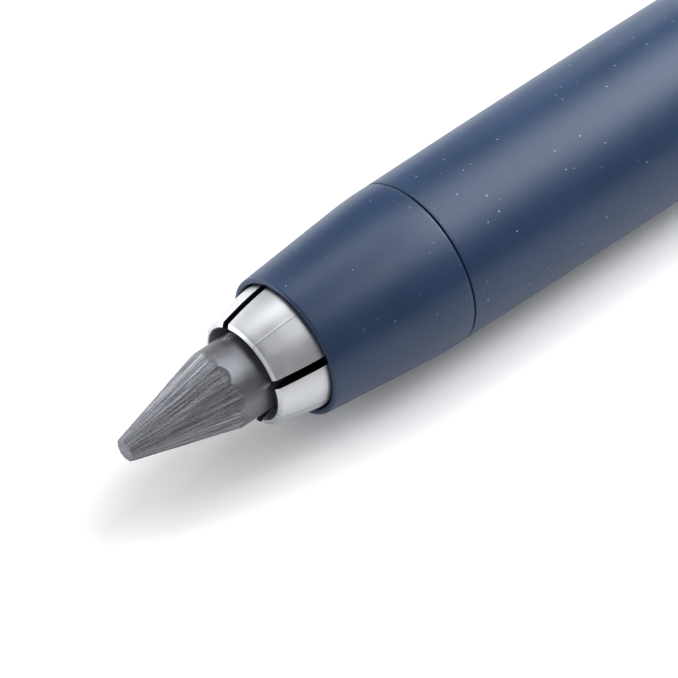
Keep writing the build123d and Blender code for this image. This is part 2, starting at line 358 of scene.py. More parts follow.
@group_tree(
    "Long Streaks",
    "ShaderNodeTree",
    {"Vector": (VECTOR, None), "Around": (FLOAT, 30.0), "Along": (FLOAT, 0.4)},
    {"Height": FLOAT},
)
def streak_group(tree, given, out):
    """Long fine marks that run along the holder, and towards the tip on a cone."""
    parts = add_node(tree, "ShaderNodeSeparateXYZ", {"Vector": given["Vector"]})
    flat = add_node(tree, "ShaderNodeCombineXYZ", {"Y": parts.outputs["Y"], "Z": parts.outputs["Z"]})
    way = add_node(
        tree, "ShaderNodeVectorMath", {0: flat.outputs["Vector"]}, operation="NORMALIZE"
    )
    around = add_node(
        tree,
        "ShaderNodeVectorMath",
        {0: way.outputs["Vector"], "Scale": given["Around"]},
        operation="SCALE",
    )
    along = maths(tree, "MULTIPLY", parts.outputs["X"], given["Along"])
    shift = add_node(tree, "ShaderNodeCombineXYZ", {"X": along})
    long = add_node(
        tree,
        "ShaderNodeVectorMath",
        {0: around.outputs["Vector"], 1: shift.outputs["Vector"]},
        operation="ADD",
    )
    marks = add_node(
        tree,
        "ShaderNodeTexNoise",
        {"Vector": long.outputs["Vector"], "Scale": 1.0, "Detail": 4.0, "Roughness": 0.65},
    )
    tree.links.new(maths(tree, "SUBTRACT", marks.outputs["Fac"], 0.5), out.inputs["Height"])


# ---------------------------------------------------------------- materials
def start_material(name):
    """A new material, its tree, its shader, and object coordinates in millimetres."""
    made = bpy.data.materials.new(name)
    made.use_nodes = True
    tree = made.node_tree
    shader = tree.nodes["Principled BSDF"]
    place = tree.nodes.new("ShaderNodeTexCoord")
    scaled = add_node(
        tree, "ShaderNodeMapping", {"Vector": place.outputs["Object"], "Scale": (1000, 1000, 1000)}
    )
    return made, tree, shader, scaled.outputs["Vector"]


def group_value(tree, group, output, **inputs):
    """The output of one shader group, with its inputs given by their names in lower case."""
    made = tree.nodes.new("ShaderNodeGroup")
    made.node_tree = group
    for socket in made.inputs:
        key = socket.name.lower().replace(" ", "_")
        if key in inputs:
            if isinstance(inputs[key], bpy.types.NodeSocket):
                tree.links.new(inputs[key], socket)
            else:
                socket.default_value = inputs[key]
    return made.outputs[output]


def mixed(tree, factor, first, second):
    """Two colours mixed by a mask."""
    made = add_node(tree, "ShaderNodeMix", {"Factor": factor}, data_type="RGBA")
    for index, value in ((6, first), (7, second)):
        if isinstance(value, bpy.types.NodeSocket):
            tree.links.new(value, made.inputs[index])
        else:
            made.inputs[index].default_value = (*value, 1.0)[:4]
    return made.outputs[2]


def bumped(tree, shader, height, depth):
    """Gives the shader a bump of this depth, in metres."""
    made = add_node(tree, "ShaderNodeBump", {"Height": height, "Distance": depth, "Strength": 1.0})
    tree.links.new(made.outputs["Normal"], shader.inputs["Normal"])


def scaled_colour(base, factor):
    """A colour made lighter or darker."""
    return tuple(min(1.0, c * factor) for c in base)


def shaded(tree, factor, base, dark, light):
    """A colour that a mask moves between a darker and a lighter shade."""
    return mixed(tree, factor, scaled_colour(base, dark), scaled_colour(base, light))


def clouds_on(tree, place, per_millimetre):
    """Handling clouds of this fineness, from 0 to 1."""
    return group_value(
        tree, cloud_group(), "Value", vector=place, per_millimetre=per_millimetre, low=0.0, high=1.0
    )


def grain_on(tree, place, per_millimetre, contrast=1.0):
    """The height of a fine grain."""
    return group_value(
        tree, grain_group(), "Height", vector=place, per_millimetre=per_millimetre, contrast=contrast
    )


def specks_on(tree, place, per_millimetre, size, share):
    """A mask of dust specks."""
    return group_value(
        tree, speck_group(), "Mask", vector=place, per_millimetre=per_millimetre, size=size, share=share
    )


def streaks_on(tree, place, around, along):
    """The height of long fine marks."""
    return group_value(tree, streak_group(), "Height", vector=place, around=around, along=along)


def soft_navy(finish):
    """Soft-touch paint: matte, finely grained, with slight handling marks and dust."""
    made, tree, shader, place = start_material("soft_touch_navy")
    clouds = clouds_on(tree, place, 0.25)
    base = shaded(tree, clouds, finish.navy, 0.93, 1.08)
    specks = specks_on(tree, place, 1.7, 0.13, 0.45)
    motes = specks_on(tree, place, 4.0, 0.19, 0.30)
    along = add_node(tree, "ShaderNodeSeparateXYZ", {"Vector": place}).outputs["X"]
    from_seam = maths(tree, "ABSOLUTE", maths(tree, "SUBTRACT", along, front_of("barrel") / MM))
    by_seam = mapped(tree, from_seam, 0.2, 2.2, 1.0, 0.12)
    motes = maths(tree, "MULTIPLY", motes, by_seam)
    dust = maths(tree, "MULTIPLY", maths(tree, "MAXIMUM", specks, motes), 0.62)
    tree.links.new(mixed(tree, dust, base, (0.50, 0.54, 0.60)), shader.inputs["Base Color"])
    grain = grain_on(tree, place, 6.0)
    rough = mapped(tree, clouds, 0.0, 1.0, 0.38, 0.42)
    tree.links.new(maths(tree, "MULTIPLY_ADD", grain, 0.10, rough), shader.inputs["Roughness"])
    shader.inputs["Specular IOR Level"].default_value = 0.66
    bumped(tree, shader, maths(tree, "MULTIPLY_ADD", dust, 1.2, grain), 0.008 * MM)
    return made


def satin_metal(finish):
    """Satin plating over cast metal: a fine orange peel, tiny pits and soft handling marks."""
    made, tree, shader, place = start_material("satin_plating")
    clouds = clouds_on(tree, place, 1.1)
    pits = specks_on(tree, place, 3.5, 0.12, 0.16)
    base = shaded(tree, clouds, finish.satin, 0.97, 1.03)
    dull = maths(tree, "MULTIPLY", pits, 0.5)
    tree.links.new(mixed(tree, dull, base, (0.30, 0.30, 0.32)), shader.inputs["Base Color"])
    shader.inputs["Metallic"].default_value = 1.0
    tree.links.new(mapped(tree, clouds, 0.0, 1.0, 0.42, 0.48), shader.inputs["Roughness"])
    grain = grain_on(tree, place, 7.0)
    bumped(tree, shader, maths(tree, "MULTIPLY_ADD", pits, -1.5, grain), 0.0022 * MM)
    return made


def graphite_side(finish):
    """The lead's smooth drawn side: a dull metallic grey with faint long marks."""
    made, tree, shader, place = start_material("drawn_graphite")
    clouds = clouds_on(tree, place, 0.8)
    streaks = streaks_on(tree, place, 14.0, 0.35)
    tone = maths(tree, "MULTIPLY_ADD", streaks, 0.8, clouds)
    base = shaded(tree, tone, finish.graphite, 0.75, 1.0)
    tree.links.new(base, shader.inputs["Base Color"])
    shader.inputs["Metallic"].default_value = 0.85
    tree.links.new(mapped(tree, clouds, 0.0, 1.0, 0.42, 0.52), shader.inputs["Roughness"])
    grain = grain_on(tree, place, 9.0, 0.6)
    bumped(tree, shader, maths(tree, "ADD", streaks, grain), 0.004 * MM)
    return made


def graphite_cut(finish):
    """The lead's cut point: torn grain and bright scratches along the cuts."""
    made, tree, shader, place = start_material("cut_graphite")
    streaks = streaks_on(tree, place, 20.0, 0.30)
    crumbs = grain_on(tree, place, 8.0)
    both = maths(tree, "MULTIPLY_ADD", crumbs, 0.28, streaks)
    tone = mapped(tree, both, -0.17, 0.19, 0.0, 1.0)
    base = shaded(tree, tone, finish.graphite, 0.40, 1.70)
    tree.links.new(base, shader.inputs["Base Color"])
    shader.inputs["Metallic"].default_value = 0.85
    tree.links.new(mapped(tree, tone, 0.0, 1.0, 0.50, 0.36), shader.inputs["Roughness"])
    bumped(tree, shader, maths(tree, "MULTIPLY_ADD", crumbs, 0.45, streaks), 0.030 * MM)
    return made


def plain_metal(name, base, low, high, around=30.0):
    """Turned or drawn metal with fine marks along it."""
    made, tree, shader, place = start_material(name)
    streaks = streaks_on(tree, place, around, 0.7)
    tone = mapped(tree, streaks, -0.25, 0.25, 0.0, 1.0)
    tree.links.new(shaded(tree, tone, base, 0.88, 1.06), shader.inputs["Base Color"])
    shader.inputs["Metallic"].default_value = 1.0
    tree.links.new(mapped(tree, tone, 0.0, 1.0, low, high), shader.inputs["Roughness"])
    bumped(tree, shader, streaks, 0.0025 * MM)
    return made


def moulded_plastic(name, base, low, high):
    """Moulded plastic with a fine skin."""
    made, tree, shader, place = start_material(name)
    clouds = clouds_on(tree, place, 0.8)
    tree.links.new(shaded(tree, clouds, base, 0.92, 1.06), shader.inputs["Base Color"])
    tree.links.new(mapped(tree, clouds, 0.0, 1.0, low, high), shader.inputs["Roughness"])
    grain = grain_on(tree, place, 9.0)
    bumped(tree, shader, grain, 0.003 * MM)
    return made


def finish_for(name):
    """A material by its name, made when it is first asked for."""
    if name in bpy.data.materials:
        return bpy.data.materials[name]
    finish = bpy.context.scene.holder_finish
    makers = {
        "soft_touch_navy": lambda: soft_navy(finish),
        "satin_plating": lambda: satin_metal(finish),
        "drawn_graphite": lambda: graphite_side(finish),
        "cut_graphite": lambda: graphite_cut(finish),
        "parting_line": lambda: plain_metal(
            "parting_line", scaled_colour(finish.satin, 0.55), 0.45, 0.55
        ),
        # Painted shade: near-black metal for the shade in the jaws' slots and bore.
        "sooty_metal": lambda: plain_metal("sooty_metal", finish.recess_shade, 0.45, 0.60),
        "drawn_brass": lambda: plain_metal("drawn_brass", finish.brass, 0.24, 0.38),
        "spring_wire": lambda: plain_metal("spring_wire", finish.steel, 0.22, 0.34),
        "honed_steel": lambda: plain_metal("honed_steel", (0.74, 0.74, 0.76), 0.14, 0.26, 40.0),
        "natural_nylon": lambda: moulded_plastic("natural_nylon", finish.nylon, 0.42, 0.55),
        "moulded_black": lambda: moulded_plastic("moulded_black", finish.black, 0.38, 0.52),
    }
    return makers[name]()


# ---------------------------------------------------------------- geometry node trees
def on_circle(tree, station, radius, angle):
    """A place at this station and radius, turned about X."""
    across = maths(tree, "MULTIPLY", radius, maths(tree, "COSINE", angle))
    up = maths(tree, "MULTIPLY", radius, maths(tree, "SINE", angle))
    made = add_node(tree, "ShaderNodeCombineXYZ", {"X": station, "Y": across, "Z": up})
    return made.outputs["Vector"]


@group_tree(
    "Turned Piece",
    "GeometryNodeTree",
    {"Outline": (GEOMETRY, None), "Segments": (INT, SEGMENTS), "Material": (MATERIAL, None)},
    {"Geometry": GEOMETRY},
)
def turned_tree(tree, given, out):
    """Turns an outline about X. The outline is a row of points with X and the radius in Z."""
    outline = given["Outline"]
    segments = given["Segments"]
    count = add_node(tree, "GeometryNodeAttributeDomainSize", {"Geometry": outline})
    columns = maths(tree, "ADD", segments, 1)
    grid = add_node(
        tree,
        "GeometryNodeMeshGrid",
        {"Vertices X": count.outputs["Point Count"], "Vertices Y": columns},
    )
    index = tree.nodes.new("GeometryNodeInputIndex").outputs[0]
    row = maths(tree, "FLOOR", maths(tree, "DIVIDE", maths(tree, "ADD", index, 0.5), columns))
    column = maths(tree, "SUBTRACT", index, maths(tree, "MULTIPLY", row, columns))
    angle = maths(tree, "MULTIPLY", maths(tree, "DIVIDE", column, segments), 2 * pi)
    place = tree.nodes.new("GeometryNodeInputPosition").outputs[0]
    corner = add_node(
        tree,
        "GeometryNodeSampleIndex",
        {"Geometry": outline, "Index": row},
        data_type="FLOAT_VECTOR",
        domain="POINT",
    )
    tree.links.new(place, corner.inputs["Value"])
    parts = add_node(tree, "ShaderNodeSeparateXYZ", {"Vector": corner.outputs["Value"]})
    radius = parts.outputs["Z"]
    turned = on_circle(tree, parts.outputs["X"], radius, angle)
    moved = add_node(
        tree,
        "GeometryNodeSetPosition",
        {"Geometry": grid.outputs["Mesh"], "Position": turned},
    )
    closed = add_node(
        tree, "GeometryNodeMergeByDistance", {"Geometry": moved.outputs[0], "Distance": 1e-7}
    )
    finish_tree(tree, closed.outputs[0], given, out)


def finish_tree(tree, geometry, given, out):
    """Ends a tree with smooth shading, real geometry and its material."""
    smooth = add_node(tree, "GeometryNodeSetShadeSmooth", {"Geometry": geometry})
    real = add_node(tree, "GeometryNodeRealizeInstances", {"Geometry": smooth.outputs[0]})
    painted = add_node(
        tree,
        "GeometryNodeSetMaterial",
        {"Geometry": real.outputs[0], "Material": given["Material"]},
    )
    tree.links.new(painted.outputs[0], out.inputs[0])


@group_tree(
    "Wire Coil",
    "GeometryNodeTree",
    {
        "Geometry": (GEOMETRY, None),
        "Start": (FLOAT, 0.0),
        "Length": (FLOAT, 0.02),
        "Turns": (FLOAT, 10.0),
        "Coil Radius": (FLOAT, 0.004),
        "Wire Radius": (FLOAT, 0.0003),
        "End Closing": (FLOAT, 0.0),
        "Steps Per Turn": (INT, 40),
        "Wire Sides": (INT, 12),
        "Material": (MATERIAL, None),
    },
    {"Geometry": GEOMETRY},
)
def coil_tree(tree, given, out):
    """Winds a round wire about X. End Closing of 1 lays the end turns side by side."""
    turns = given["Turns"]
    steps = maths(tree, "MULTIPLY", turns, given["Steps Per Turn"])
    line = add_node(tree, "GeometryNodeMeshLine", {"Count": steps})
    index = tree.nodes.new("GeometryNodeInputIndex").outputs[0]
    share = maths(tree, "DIVIDE", index, maths(tree, "SUBTRACT", steps, 1))
    wave = maths(tree, "DIVIDE", maths(tree, "SINE", maths(tree, "MULTIPLY", share, 2 * pi)), 2 * pi)
    eased = maths(
        tree, "SUBTRACT", share, maths(tree, "MULTIPLY", wave, given["End Closing"])
    )
    angle = maths(tree, "MULTIPLY", share, maths(tree, "MULTIPLY", turns, 2 * pi))
    radius = given["Coil Radius"]
    station = maths(tree, "MULTIPLY_ADD", eased, given["Length"], given["Start"])
    place = on_circle(tree, station, radius, angle)
    wound = add_node(
        tree,
        "GeometryNodeSetPosition",
        {"Geometry": line.outputs[0], "Position": place},
    )
    path = add_node(tree, "GeometryNodeMeshToCurve", {"Mesh": wound.outputs[0]})
    wire = add_node(
        tree,
        "GeometryNodeCurvePrimitiveCircle",
        {"Resolution": given["Wire Sides"], "Radius": given["Wire Radius"]},
    )
    tube = add_node(
        tree,
        "GeometryNodeCurveToMesh",
        {"Curve": path.outputs[0], "Profile Curve": wire.outputs[0], "Fill Caps": True},
    )
    finish_tree(tree, tube.outputs[0], given, out)


@group_tree(
    "Grip Ribs",
    "GeometryNodeTree",
    {
        "Geometry": (GEOMETRY, None),
        "Ribs": (INT, 48),
        "Radius": (FLOAT, 0.004),
        "Start": (FLOAT, 0.0),
        "Length": (FLOAT, 0.003),
        "Rib Radius": (FLOAT, 0.0001),
        "Material": (MATERIAL, None),
    },
    {"Geometry": GEOMETRY},
)
def rib_tree(tree, given, out):
    """Adds a ring of round-topped grip ribs about X to the piece."""
    ribs = given["Ribs"]
    points = add_node(tree, "GeometryNodeMeshLine", {"Count": ribs})
    index = tree.nodes.new("GeometryNodeInputIndex").outputs[0]
    angle = maths(tree, "MULTIPLY", maths(tree, "DIVIDE", index, ribs), 2 * pi)
    middle = maths(tree, "MULTIPLY_ADD", given["Length"], 0.5, given["Start"])
    around = on_circle(tree, middle, given["Radius"], angle)
    placed = add_node(
        tree,
        "GeometryNodeSetPosition",
        {"Geometry": points.outputs[0], "Position": around},
    )
    rod = add_node(
        tree,
        "GeometryNodeMeshCylinder",
        {
            "Vertices": 12,
            "Side Segments": 2,
            "Radius": given["Rib Radius"],
            "Depth": given["Length"],
        },
    )
    set_out = add_node(
        tree,
        "GeometryNodeInstanceOnPoints",
        {"Points": placed.outputs[0], "Instance": rod.outputs[0], "Rotation": (0, pi / 2, 0)},
    )
    joined = tree.nodes.new("GeometryNodeJoinGeometry")
    tree.links.new(set_out.outputs[0], joined.inputs[0])
    tree.links.new(given["Geometry"], joined.inputs[0])
    finish_tree(tree, joined.outputs[0], given, out)


def keep_result(piece):
    """Makes the result of a piece's modifiers its plain mesh, and removes them."""
    evaluated = piece.evaluated_get(bpy.context.evaluated_depsgraph_get())
    made = bpy.data.meshes.new_from_object(evaluated)
    old = piece.data
    piece.modifiers.clear()
    piece.data = made
    bpy.data.meshes.remove(old)
    made.name = piece.name
    return made


def apply_tree(piece, tree, **inputs):
    """Runs a tree on a piece, keeps the result as a plain mesh and removes the modifier."""
    step = piece.modifiers.new(tree.name, "NODES")
    step.node_group = tree
    for item in tree.interface.items_tree:
        key = item.name.lower().replace(" ", "_")
        if item.in_out == "INPUT" and key in inputs:
            step[item.identifier] = inputs[key]
    made = keep_result(piece)
    made.materials.clear()
    made.materials.append(inputs["material"])
    made.polygons.foreach_set("material_index", [0] * len(made.polygons))
    return piece


# ---------------------------------------------------------------- mesh helpers
def new_piece(name, mesh):
    """Puts a mesh into the scene as an object at the origin."""
    piece = bpy.data.objects.new(name, mesh)
    bpy.context.scene.collection.objects.link(piece)
    return piece


def outward(piece, sharp=35):
    """Turns faces outwards, and marks edges sharper than this angle in degrees."""
    shape = bmesh.new()
    shape.from_mesh(piece.data)
    bmesh.ops.recalc_face_normals(shape, faces=shape.faces)
    if shape.calc_volume(signed=True) < 0:
        bmesh.ops.reverse_faces(shape, faces=shape.faces)
    shape.to_mesh(piece.data)
    shape.free()
    piece.data.shade_smooth()
    piece.data.set_sharp_from_angle(angle=radians(sharp))
    return piece


def bend(start, corner, end, steps=12):
    """Points of a smooth run between two outline points, drawn towards a corner."""
    return [
        (
            (1 - t) ** 2 * start[0] + 2 * t * (1 - t) * corner[0] + t * t * end[0],
            (1 - t) ** 2 * start[1] + 2 * t * (1 - t) * corner[1] + t * t * end[1],
            0,
        )
        for t in (i / steps for i in range(steps + 1))
    ]


def rounded(corners, steps=6):
    """A closed outline with its corners rounded. Each corner is (station, radius, rounding)."""
    outline = []
    for i, (x, r, rounding) in enumerate(corners):
        here = Vector((x, r))
        if not rounding:
            outline.append(here)
            continue
        before = Vector(corners[i - 1][:2]) - here
        after = Vector(corners[(i + 1) % len(corners)][:2]) - here
        half = before.angle(after) / 2
        back = rounding / tan(half)
        first = here + before.normalized() * back
        last = here + after.normalized() * back
        centre = here + (before.normalized() + after.normalized()).normalized() * rounding / sin(half)
        start, sweep = first - centre, (first - centre).angle_signed(last - centre)
        for step in range(steps + 1):
            turned_by = Matrix.Rotation(-sweep * step / steps, 2)
            outline.append(centre + turned_by @ start)
    return outline


def turned_piece(name, corners, material, closed=True, segments=SEGMENTS):
    """A piece turned about the holder's axis from an outline of (station, radius, rounding)."""
    outline = rounded(corners) if closed else [Vector(c[:2]) for c in corners]
    if closed:
        outline.append(outline[0])
    mesh = bpy.data.meshes.new(name)
    mesh.from_pydata([(p.x, 0, p.y) for p in outline], [], [])
    piece = new_piece(name, mesh)
    apply_tree(piece, turned_tree(), segments=segments, material=finish_for(material))
    return outward(piece)


def settle(piece, body, slot, *nodes):
    """Puts a piece on its body, in the place of its nodes. The slot argument is not used."""
    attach(piece, body)
    if nodes:
        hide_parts(*nodes)
    return piece


# ---------------------------------------------------------------- nose and barrel
def build_nose(sizes, collet):
    """The soft-touch nose: rounded mouth, taper, and the spigot inside the barrel."""
    lip = front_of("nose_cone")
    seam = front_of("front_insert")
    end = back_of("nose_cone")
    seam_radius = outer_of("nose_cone")
    throat = bore_of("nose_cone")
    mouth = outer_of("jaw_1") + 0.13 * MM
    lip_radius = mouth + sizes.lip_width
    slope = (seam_radius - lip_radius) / (seam - lip - sizes.blend / 2)
    bend_start = (seam - sizes.blend, lip_radius + slope * (seam - lip - sizes.blend))
    taper = bend(bend_start, (seam - sizes.blend / 2, seam_radius), (seam - 0.3 * MM, seam_radius))
    seat_end = lip + sizes.mouth_land + (mouth - throat) / tan(collet.seat_angle)
    stop = front_of("collet_body") - 4.6 * MM
    bore = outer_of("collet_body") + 0.07 * MM
    spigot = bore_of("front_insert") - SLIDING_FIT
    corners = [
        (lip, lip_radius, sizes.lip_round),
        *taper,
        (seam, seam_radius, sizes.seam_round),
        (seam, spigot, 0),
        (end, spigot, 0.1 * MM),
        (end, bore, 0.1 * MM),
        (stop, bore, 0),
        (stop, throat, 0.05 * MM),
        (seat_end, throat, 0.3 * MM),
        (lip + sizes.mouth_land, mouth, 0.3 * MM),
        (lip, mouth, sizes.lip_round),
    ]
    piece = turned_piece("nose_shell", corners, "soft_touch_navy")
    return settle(piece, "barrel", "soft_navy", "nose_cone")


def build_barrel(sizes):
    """The soft-touch barrel: a slow swell to the straight grip and a taper to the ferrule."""
    start = front_of("barrel")
    end = back_of("barrel")
    grip = outer_of("barrel")
    seam_radius = outer_of("nose_cone")
    grip_start = front_of("front_insert") + sizes.swell
    grip_end = end - sizes.rear_taper
    main = bore_of("barrel")
    front_bore = outer_of("front_insert") + SLIDING_FIT
    rear_bore = outer_of("rear_guide") + SLIDING_FIT
    end_radius = outer_of("rear_ferrule")
    guide = back_of("rear_guide") - MM
    insert_end = back_of("front_insert")
    corners = [
        (start, front_bore, 0),
        (start, seam_radius, sizes.seam_round),
        *bend(
            (start + 0.3 * MM, seam_radius + 0.0045 * MM),
            ((start + grip_start) / 2, grip),
            (grip_start, grip),
            24,
        ),
        *bend((grip_end, grip), ((grip_end + end) / 2, grip), (end, end_radius), 24),
        (end, rear_bore, 0),
        (guide, rear_bore, 0),
        (guide, main, 0),
        (insert_end, main, 0),
        (insert_end, front_bore, 0),
    ]
    piece = turned_piece("barrel_shell", corners, "soft_touch_navy")
    return settle(piece, "barrel", "soft_navy", "barrel")


# ---------------------------------------------------------------- collet jaws
def slot_way(sizes, number):
    """Direction of a slot between two jaws, from +Y to +Z."""
    return radians(45) + sizes.turn + number * pi / 2


def jaw_outline(sizes):
    """Closed outline of a jaw and its finger, rounded in front."""
    front = front_of("jaw_1")
    root = back_of("jaw_1")
    lip = front_of("nose_cone")
    head = outer_of("jaw_1")
    grip = outer_of("lead") + 0.03 * MM
    bore = bore_of("lead_tube")
    finger = bore + sizes.finger_wall
    mouth = grip + sizes.flare
    rim = mouth + sizes.rim
    slope = tan(sizes.seat_angle)
    head_end = lip + 0.9 * MM + 0.08 * MM / slope
    finger_start = head_end + (head - finger) / slope
    crown = ((rim + head) / 2 + sizes.crown, front + (lip - front) / 2)
    flank = [
        (x, r, 0)
        for x, r in arc_through(
            Vector((front, rim)), Vector((crown[1], crown[0])), Vector((lip, head)), 14
        )
    ]
    return rounded(
        [
            (front, mouth + 0.08 * MM, 0.07 * MM),
            (front + 0.16 * MM, rim + 0.05 * MM, 0.13 * MM),
            *flank[2:],
            (head_end, head, 0.2 * MM),
            (finger_start, finger, 0.4 * MM),
            (root, finger, 0),
            (root, bore, 0),
            (front + sizes.flare_depth + sizes.land, bore, 0),
            (front + sizes.flare_depth + sizes.land, grip, 0),
            (front + sizes.flare_depth, grip, 0.2 * MM),
            (front, mouth, 0.09 * MM),
        ]
    )


def arc_through(first, middle, last, steps):
    """Points of the circular arc through three points."""
    a, b = middle - first, last - first
    cross = 2 * (a.x * b.y - a.y * b.x)
    centre = first + Vector(
        (
            (b.y * a.length_squared - a.y * b.length_squared) / cross,
            (a.x * b.length_squared - b.x * a.length_squared) / cross,
        )
    )
    start = first - centre
    sweep = start.angle_signed(last - centre)
    return [
        tuple(centre + Matrix.Rotation(-sweep * i / steps, 2) @ start) for i in range(steps + 1)
    ]


def build_jaw(number, sizes, outline):
    """One jaw: a quarter turn of the outline between two parallel-sided slots."""
    half = 18
    columns = 2 * half + 2
    start = slot_way(sizes, number)
    line = asin(sizes.parting_width / 2 / outer_of("jaw_1")) / (pi / 2)
    shares = [(0.5 - line) * i / half for i in range(half + 1)]
    shares += [0.5] + [1 - share for share in reversed(shares)]
    verts = []
    for x, r in outline:
        inset = asin(sizes.slot / 2 / r)
        on_head = r > outer_of("lead") + sizes.flare and x < back_of("jaw_1") - 2 * MM
        for share in shares:
            angle = start + inset + (pi / 2 - 2 * inset) * share
            raised = r + (sizes.parting if share == 0.5 and on_head else 0)
            verts.append((x, raised * cos(angle), raised * sin(angle)))
    rows = len(outline)
    stride = columns + 1
    faces = [
        (
            i * stride + c,
            i * stride + c + 1,
            (i + 1) % rows * stride + c + 1,
            (i + 1) % rows * stride + c,
        )
        for i in range(rows)
        for c in range(columns)
    ]
    mouth = outer_of("lead") + sizes.flare
    # Faces inside the mouth get painted shade, near-black, for the shade in the bore.
    finishes = [
        SHADE_PAINTED if max(outline[i][1], outline[(i + 1) % rows][1]) < mouth
        else PARTING if c in (half, half + 1) else SATIN
        for i in range(rows)
        for c in range(columns)
    ]
    faces.append([i * stride for i in range(rows)])
    faces.append([i * stride + columns for i in reversed(range(rows))])
    # The flat slot sides get painted shade too, near-black.
    finishes += [SHADE_PAINTED, SHADE_PAINTED]
    name = f"jaw_metal_{number + 1}"
    mesh = bpy.data.meshes.new(name)
    mesh.from_pydata(verts, [], faces)
    for finish in ("satin_plating", "sooty_metal", "parting_line"):
        mesh.materials.append(finish_for(finish))
    mesh.polygons.foreach_set("material_index", finishes)
    piece = outward(new_piece(name, mesh), 180)
    edges = piece.modifiers.new("slot edges", "BEVEL")
    edges.width = sizes.edge
    edges.segments = 3
    edges.limit_method = "ANGLE"
    edges.angle_limit = radians(50)
    edges.harden_normals = True
    keep_result(piece)
    return settle(piece, f"jaw_{number + 1}", "satin_metal", f"jaw_{number + 1}")


# ---------------------------------------------------------------- lead
# Directions of the flats that the pointer cut on the lead, in degrees from +Y to +Z.
FLATS = (3, 32, 60, 86, 111, 146, 187, 222, 257, 291, 327)


def facet_plan():
    """Direction of each flat on the point, and how near the axis it lies."""
    ways = sorted(radians(way) for way in FLATS)
    plan = []
    for i, way in enumerate(ways):
        before = (way - ways[i - 1]) % (2 * pi)
        after = (ways[(i + 1) % len(ways)] - way) % (2 * pi)
        plan.append((way, 0.35 + 0.65 * cos(max(before, after) / 2)))
    return plan


def cutting_mark(along, angle, sizes):
    """Depth of the long grooves and short tears that run down the point."""
    c, s = cos(angle), sin(angle)
    broad = noise.noise(Vector((along / MM * 0.16, c * 6.0, s * 6.0)))
    fine = noise.noise(Vector((along / MM * 0.35 + 9, c * 17.0, s * 17.0)))
    torn = noise.noise(Vector((along / MM * 2.6, c * 24.0 + 5, s * 24.0)))
    return sizes.groove * (0.5 + 1.1 * broad + 0.9 * fine + 0.35 * torn)


def bead(behind, angle, slots, sizes):
    """Height of the bead of lead that a slot's mouth leaves, near the jaws' front."""
    height = 0.0
    for slot in slots:
        side = (angle - slot + pi) % (2 * pi) - pi
        across = side / sizes.burr_width
        front = (behind - 0.10 * MM) / (0.34 * MM)
        if abs(across) < 3 and abs(front) < 3:
            height += sizes.burr * exp(-across * across - front * front)
    return height


def lead_stations(sizes):
    """Where the lead's rings of points lie: close together on the point, sparse inside."""
    tip, end = front_of("lead"), back_of("lead")
    neck = front_of("jaw_1") + 1.2 * MM
    point = tip + sizes.cone + 1.3 * MM
    stations = [tip + sizes.tip_round * (1 - cos(pi / 2 * i / 6)) for i in range(6)]
    start = tip + sizes.tip_round
    stations += [start + (point - start) * i / 170 for i in range(171)]
    stations += [point + (neck - point) * i / 30 for i in range(1, 31)]
    stations += [neck + (end - neck) * i / 12 for i in range(1, 12)]
    return stations + [end - sizes.end_chamfer, end]


def lead_surface(x, angle, plan, slots, sizes):
    """The lead's radius at a point, and how much of it there is a cut."""
    full = outer_of("lead")
    tip, end = front_of("lead"), back_of("lead")
    along = x - tip
    cone = sizes.tip_radius + (full - sizes.tip_radius) * along / sizes.cone
    flat = min(cone * depth / cos(angle - way) for way, depth in plan if cos(angle - way) > 0.6)
    mark = cutting_mark(along, angle, sizes)
    edge = full - flat + 3.2 * mark - 1.6 * sizes.groove
    cut = max(0.0, min(1.0, edge / (0.03 * MM)))
    radius = min(full, flat)
    radius -= cut * mark * min(1.0, along / sizes.cone + 0.35)
    if along < sizes.tip_round:
        drop = sizes.tip_round - along
        radius -= sizes.tip_round - sqrt(max(0.0, sizes.tip_round**2 - drop**2))
    radius += bead(x - front_of("jaw_1"), angle, slots, sizes)
    if x > end - 0.1 * MM:
        radius -= sizes.end_chamfer
    return min(radius, full + sizes.burr), cut


def build_lead(sizes, collet):
    """The lead: a smooth drawn side, beads at the slots, and a point cut in flats."""
    plan = facet_plan()
    slots = [slot_way(collet, number) for number in range(JAWS)]
    stations = lead_stations(sizes)
    columns = LEAD_SEGMENTS
    verts = [(front_of("lead"), 0, 0)]
    cuts = []
    for x in stations:
        for column in range(columns):
            angle = 2 * pi * column / columns
            radius, cut = lead_surface(x, angle, plan, slots, sizes)
            verts.append((x, radius * cos(angle), radius * sin(angle)))
            cuts.append(cut)
    verts.append((back_of("lead"), 0, 0))
    rows = len(stations)
    faces = []
    cut_faces = []
    for c in range(columns):
        after = (c + 1) % columns
        faces.append((0, 1 + after, 1 + c))
        cut_faces.append(True)
        for i in range(rows - 1):
            a, b = 1 + i * columns, 1 + (i + 1) * columns
            faces.append((a + c, a + after, b + after, b + c))
            cut_faces.append(cuts[i * columns + c] > 0.5)
        last = 1 + (rows - 1) * columns
        faces.append((last + c, last + after, len(verts) - 1))
        cut_faces.append(True)
    mesh = bpy.data.meshes.new("lead_graphite")
    mesh.from_pydata(verts, [], faces)
    mesh.materials.append(finish_for("drawn_graphite"))
    mesh.materials.append(finish_for("cut_graphite"))
    mesh.polygons.foreach_set("material_index", [int(is_cut) for is_cut in cut_faces])
    piece = outward(new_piece("lead_graphite", mesh), 60)
    return settle(piece, "lead", "graphite", "lead")


